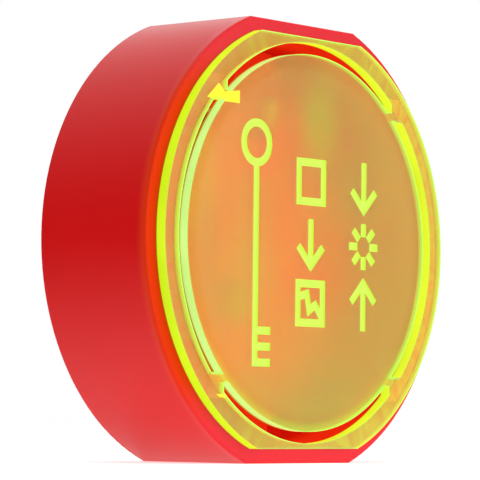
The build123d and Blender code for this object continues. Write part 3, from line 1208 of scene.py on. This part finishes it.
@dataclass
class WallPlate:
    """The plate on the wall with its brass inserts, the hook and the foam pad."""

    rows: int = 29  # rings of the pad's front, from its middle
    around: int = 100  # points in a ring
    crown: float = 0.55  # share of the thickness that the border has
    outline_power: int = 5
    crown_power: int = 4
    back_ring: float = 0.5  # share of the outline at which the back has its ring

    def build(self) -> None:
        """Build and dress every piece that is fixed to the plate, but for the hook's screws."""
        reds, glow = ((0.76, 0.010, 0.008), (0.70, 0.008, 0.007)), (0.24, 0.24)
        rough, radius = (0.42, 0.52), 52.0 * MM
        red = MouldedPlastic("red_plate", reds, roughness=rough, inner_glow=glow, inner_radius=radius)
        dress(red, "wall_plate")
        brass = BareMetal("turned_brass", ((0.72, 0.50, 0.20), (0.50, 0.33, 0.12)))
        dress(brass, "case_inserts", "hook_inserts")
        zinc = BareMetal("zinc_plate", ((0.66, 0.67, 0.70), (0.48, 0.50, 0.53)), lines=(1.0, 6.0, 1.0))
        dress(zinc, "key_hook")
        self.rattle_pad()

    def rattle_pad(self) -> None:
        """Make the crowned foam pad.

        Its outline is a superellipse of power 5 in the CAD pad's width and length.  The front rises from
        the border to the full thickness as 1 minus the fourth power of the distance from the middle.
        """
        low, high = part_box("rattle_pad")
        half, middle = (high - low) / 2, (low + high) / 2
        ring = np.linspace(0.0, 1.0, self.rows)
        front = high.y - 2 * half.y * (self.crown + (1 - self.crown) * (1 - ring**self.crown_power))
        share, y = np.append(ring[1:], (1.0, self.back_ring)), np.append(front[1:], (high.y, high.y))
        turn = np.linspace(0.0, 2 * pi, self.around, endpoint=False)
        cosine, sine, power = np.cos(turn), np.sin(turn), self.outline_power
        reach = (np.abs(cosine) ** power + np.abs(sine) ** power) ** (-1 / power)
        border = np.stack([half.x * reach * cosine, half.z * reach * sine], axis=-1)
        flat = share[:, None, None] * border[None, :, :]
        height = np.broadcast_to(y[:, None], flat.shape[:2])
        points = np.stack([middle.x + flat[..., 0], height, middle.z + flat[..., 1]], axis=-1)
        piece = grid_piece("rattle_foam", points, around=True, along=False, caps=True)
        # its first colour is painted shade in the foam's cells
        foam = Foam("red_pad_foam", ((0.46, 0.010, 0.009), (0.74, 0.020, 0.016)), glow=0.25, cells=1400.0)
        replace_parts(piece, "rattle_pad")
        finish_piece(piece, "case", "red_foam", foam.material())


@dataclass
class Pane:
    """The laser-cut acrylic pane: the rim with its bridges, and the disc that breaks out of it."""

    crease: float = 25.0  # degrees
    facing: float = 0.9  # least |y| of a flat face's normal
    thin: float = 0.05 * MM  # depth up to which a flat face is the sheet's front or back
    edge_band: float = 0.5 * MM  # distance from the disc's edge up to which a wall is its cut edge

    def build(self) -> None:
        """Build and dress the rim and the disc."""
        face = AcrylicFace().material()
        outer = CutEdge(CutWall.OUTER_EDGE, within=(0.26, 0.60, 0.20), fade=mm(0.6, 2.2))
        self.rim(face, outer.material(), CutEdge(CutWall.RIM_SLOT).material())
        # the disc's edge gets a wider, redder painted shade line along its back
        edge = CutEdge(CutWall.DISC_EDGE, shade_line=0.85 * MM, shade_line_colour=(0.30, 0.05, 0.0))
        self.disc(face, edge.material(), EngravedMark().material())

    def rim(self, *materials: Material) -> None:
        """Make the rim.

        Args:
            materials: of its faces, its outer edge and the walls of its slots.
        """
        piece = smoothed_copy("pane_rim", "acrylic_rim", self.crease)
        middles, normals = face_centres(piece)
        outwards = (normals[:, 0] * middles[:, 0] + normals[:, 2] * middles[:, 2]) > 0
        index = np.where(np.abs(normals[:, 1]) > self.facing, 0, np.where(outwards, 1, 2)).astype(np.int32)
        piece.data.polygons.foreach_set("material_index", index)
        finish_piece(piece, "case", "lime_acrylic", *materials)

    def disc(self, *materials: Material) -> None:
        """Make the disc.

        Args:
            materials: of its faces, its cut edge and its engraving.
        """
        piece = smoothed_copy("break_disc", "acrylic_disc", self.crease)
        low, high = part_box("break_disc")
        middles, normals = face_centres(piece)
        flat = np.abs(normals[:, 1]) > self.facing
        on_face = (middles[:, 1] < low.y + self.thin) | (middles[:, 1] > high.y - self.thin)
        edge = ~flat & (np.hypot(middles[:, 0], middles[:, 2]) > high.x - self.edge_band)
        index = np.where(edge, 1, np.where(flat & on_face, 0, 2)).astype(np.int32)
        piece.data.polygons.foreach_set("material_index", index)
        finish_piece(piece, "disc", "lime_acrylic", *materials)


@dataclass
class DoorKey:
    """The key with its soft cap."""

    def build(self) -> None:
        """Dress the key and its cap."""
        silvers = ((0.62, 0.56, 0.44), (0.44, 0.38, 0.28))
        dress(BareMetal("nickel_silver", silvers, lines=(14.0, 1.0, 1.0)), "key")
        dress(SoftRubber("red_cap", ((0.68, 0.020, 0.016), (0.74, 0.030, 0.024)), glow=0.30), "key_cap")


@dataclass
class KeyTag:
    """The key tag with its blank card and clear window."""

    def build(self) -> None:
        """Dress the tag's body, card and window."""
        reds = ((0.76, 0.030, 0.022), (0.70, 0.022, 0.018))
        dress(MouldedPlastic("red_tag", reds, roughness=(0.45, 0.55), inner_glow=(0.30, 0.30)), "tag_body")
        dress(PlainCard("blank_card", ((0.80, 0.26, 0.10), (0.70, 0.20, 0.07)), glow=0.30), "tag_card")
        dress(ClearSheet("clear_window", (0.94, 0.94, 0.94), clearness=0.9, blur=0.05), "tag_window")


# ---- Studio ----
@dataclass
class Studio:
    """Plain pale floor, white surroundings, soft lamps and the camera."""

    floor_gap: float = 0.05 * MM
    floor_reach: float = 3.0
    floor_lines: int = 9
    ambient: Point2 = (0.0, 0.60)  # brightness of the world as it lights the object, level and from above
    lamps: tuple[tuple[str, Point3, float], ...] = (  # name, centre and watts of each
        ("front_softbox", (0.45, -1.10, 0.30), 7.5),
        ("top_softbox", (-0.20, -0.10, 1.20), 6.6),
    )
    lamp_side: float = 0.9
    image_side: float = 480.0  # pixels
    focal_length: float = 2917.4  # pixels
    sensor: float = 36.0  # millimetres
    clip: Point2 = (0.01, 20.0)
    camera_place: Point3 = (-0.58164, -0.50170, -0.04433)
    yaw: float = radians(50.04)
    pitch: float = radians(3.449)
    roll: float = radians(0.655)

    def build(self) -> None:
        """Make the floor, the surroundings, the lamps and the camera."""
        bpy.context.scene.view_settings.view_transform = "Standard"
        self.floor()
        self.surroundings()
        for lamp in self.lamps:
            self.softbox(*lamp)
        self.camera()

    def surroundings(self) -> None:
        """Make a white world that lights the object more softly than it shows."""
        world = bpy.data.worlds.new("white_studio")
        world.use_nodes = True
        world.node_tree.nodes.clear()
        graph = Graph(world.node_tree)
        heading = graph.node("ShaderNodeTexCoord").outputs["Generated"]
        split = graph.node("ShaderNodeSeparateXYZ", {0: heading})
        height = graph.maths("ABSOLUTE", split.outputs[2])
        ambient = graph.ramp(height, 0.0, 1.0, *self.ambient)
        strength = graph.most(graph.rays("Camera", "Glossy", "Transmission"), ambient)
        light = graph.node("ShaderNodeBackground", {"Color": WHITE, "Strength": strength})
        graph.node("ShaderNodeOutputWorld", {"Surface": light.outputs[0]})
        bpy.context.scene.world = world

    def floor(self) -> None:
        """Make the floor: a square sheet under the lower flat."""
        low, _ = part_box("case_shell")
        side = np.linspace(-self.floor_reach, self.floor_reach, self.floor_lines)
        x, y = np.meshgrid(side, side, indexing="ij")
        points = np.stack([x, y, np.full_like(x, low.z - self.floor_gap)], axis=-1)
        sheet = grid_piece("studio_floor", points[:, ::-1], around=False, along=False)
        sheet.data.materials.append(StudioWhite().material())

    def softbox(self, name: str, centre: Point3, power: float) -> None:
        """Make a square area lamp that faces the object.

        Args:
            name: the lamp's name.
            centre: its centre.
            power: in watts.
        """
        data = bpy.data.lights.new(name, "AREA")
        data.shape, data.size, data.energy = "SQUARE", self.lamp_side, power
        lamp = new_piece(name, data)
        lamp.location = centre
        lamp.rotation_euler = (-Vector(centre)).to_track_quat("-Z", "Y").to_euler()

    def camera(self) -> None:
        """Make the camera, turned by yaw from +Y towards +X, pitched up and rolled."""
        sight = Vector((sin(self.yaw) * cos(self.pitch), cos(self.yaw) * cos(self.pitch), sin(self.pitch)))
        level = Vector((cos(self.yaw), -sin(self.yaw), 0.0))
        upright = level.cross(sight)
        right = cos(self.roll) * level + sin(self.roll) * upright
        up = cos(self.roll) * upright - sin(self.roll) * level
        data = bpy.data.cameras.new("camera")
        data.sensor_width = self.sensor
        data.lens = self.focal_length / self.image_side * self.sensor
        data.clip_start, data.clip_end = self.clip
        made = new_piece("camera", data)
        turned = Matrix((right, up, -sight)).transposed().to_4x4()
        made.matrix_world = Matrix.Translation(self.camera_place) @ turned
        bpy.context.scene.camera = made


def main() -> None:
    """Build every sub-assembly and the studio."""
    logging.basicConfig(level=logging.INFO, format="%(name)s: %(message)s")
    for assembly in (Case(), WallPlate(), Pane(), DoorKey(), KeyTag()):
        log.info("building %s", type(assembly).__name__)
        assembly.build()
    Studio().build()


if __name__ == "__main__":
    main()
